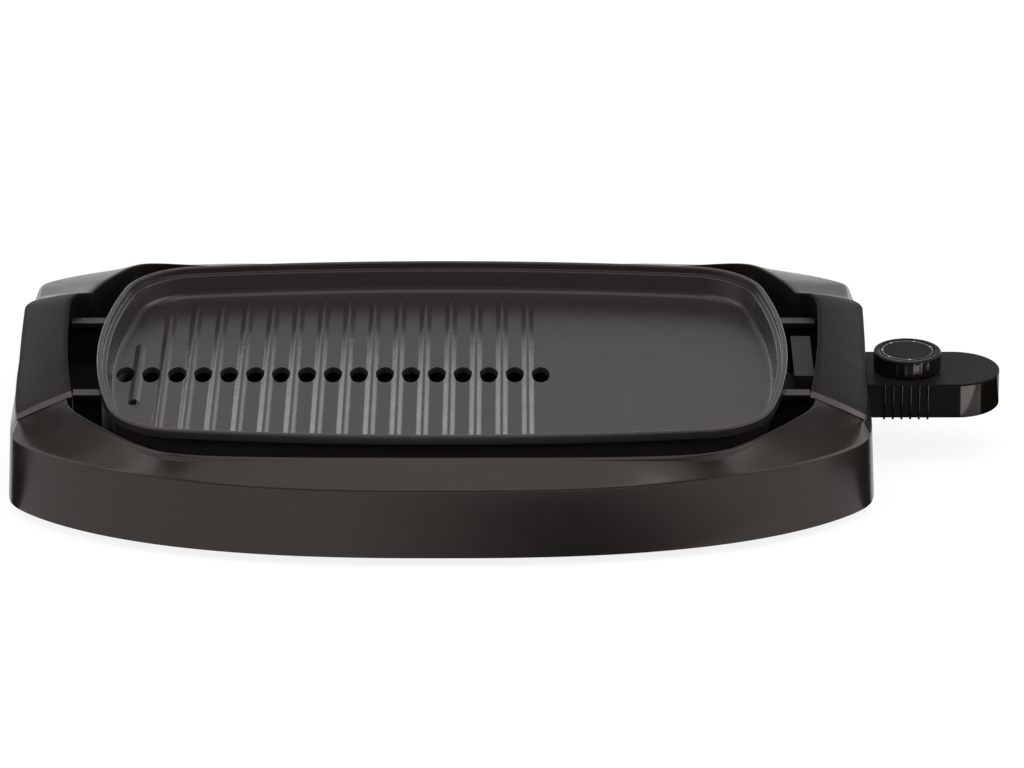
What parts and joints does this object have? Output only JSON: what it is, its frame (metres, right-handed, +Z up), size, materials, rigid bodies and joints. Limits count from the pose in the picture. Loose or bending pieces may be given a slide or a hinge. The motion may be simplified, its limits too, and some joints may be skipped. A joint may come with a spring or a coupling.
{
  "type": "electric table grill",
  "caption": "Low bow-fronted electric grill: ribbed lift-out plate over a heating loop, grips at both ends, grease drawer and a plug-in thermostat with a round dial.",
  "frame": {"origin": "middle of the footprint of the grill with its thermostat, on the table plane under the feet", "axes": "+X from the plain left end to the thermostat at the right end, +Y from the bowed front to the rear, +Z up"},
  "size_m": [0.6274, 0.379, 0.0732],
  "materials": {
    "shell_plastic": "satin moulded plastic, warm black",
    "grip_plastic": "satin moulded plastic, slightly darker than the base",
    "dark_plastic": "matt heat-resistant plastic, near black",
    "gloss_plastic": "polished black plastic",
    "dial_plastic": "satin black plastic with fine flutes",
    "face_plastic": "satin black disc with light grey print",
    "plate_coating": "die-cast aluminium with a dark grey non-stick coating",
    "sheath_steel": "stainless tube, slightly heat-tinted",
    "sheet_steel": "aluminised sheet steel",
    "pin_brass": "nickelled brass",
    "ceramic": "off-white unglazed steatite",
    "foot_rubber": "matt black rubber",
    "screw_steel": "zinc-plated steel"
  },
  "bodies": {
    "base": {"base_shell": "shell_plastic", "grip_left": "grip_plastic", "grip_right": "grip_plastic", "finger_cup_front_left": "dark_plastic", "finger_cup_front_right": "dark_plastic", "finger_cup_rear_left": "dark_plastic", "finger_cup_rear_right": "dark_plastic", "bottom_cover": "dark_plastic", "foot_front_left": "foot_rubber", "foot_front_right": "foot_rubber", "foot_rear_left": "foot_rubber", "foot_rear_right": "foot_rubber", "cover_screw_1": "screw_steel", "cover_screw_2": "screw_steel", "cover_screw_3": "screw_steel", "cover_screw_4": "screw_steel", "cover_screw_5": "screw_steel", "cover_screw_6": "screw_steel", "heat_shield": "sheet_steel", "plate_rest_front_left": "dark_plastic", "plate_rest_front_right": "dark_plastic", "plate_rest_rear_left": "dark_plastic", "plate_rest_rear_right": "dark_plastic", "plug_hood": "dark_plastic", "drawer_rail_front": "dark_plastic", "drawer_rail_rear": "dark_plastic"},
    "plate": {"grill_plate": "plate_coating", "heating_element": "sheath_steel", "terminal_pin_front": "pin_brass", "terminal_pin_rear": "pin_brass", "ceramic_bead_front": "ceramic", "ceramic_bead_rear": "ceramic", "terminal_bracket_front": "sheet_steel", "terminal_bracket_rear": "sheet_steel", "element_clip_front_outer": "sheet_steel", "element_clip_front_inner": "sheet_steel", "element_clip_rear_inner": "sheet_steel", "element_clip_rear_outer": "sheet_steel"},
    "drawer": {"grease_drawer": "dark_plastic", "drawer_front": "shell_plastic"},
    "thermostat": {"thermostat_upper_shell": "gloss_plastic", "thermostat_lower_shell": "gloss_plastic", "plug_nose": "dark_plastic", "socket_contact_front": "pin_brass", "socket_contact_rear": "pin_brass", "probe_rod": "sheath_steel", "switch_block": "ceramic", "contact_leaf": "pin_brass", "cable_gland": "foot_rubber"},
    "dial": {"dial_knob": "dial_plastic", "dial_face": "face_plastic", "dial_spindle": "screw_steel"}
  },
  "joints": [
    {"name": "plate_lift", "type": "slide", "parent": "base", "child": "plate", "axis": [0, 0, 1], "range_m": [0, 0.1]},
    {"name": "drawer_slide", "type": "slide", "parent": "base", "child": "drawer", "axis": [-1, 0, 0], "range_m": [0, 0.36]},
    {"name": "thermostat_pull", "type": "slide", "parent": "base", "child": "thermostat", "axis": [1, 0, 0], "range_m": [0, 0.14]},
    {"name": "dial_turn", "type": "hinge", "parent": "thermostat", "child": "dial", "pos_m": [0.25472, 0.0005, 0.0556], "axis": [0, 0, 1], "range_deg": [0, 270]}
  ]
}
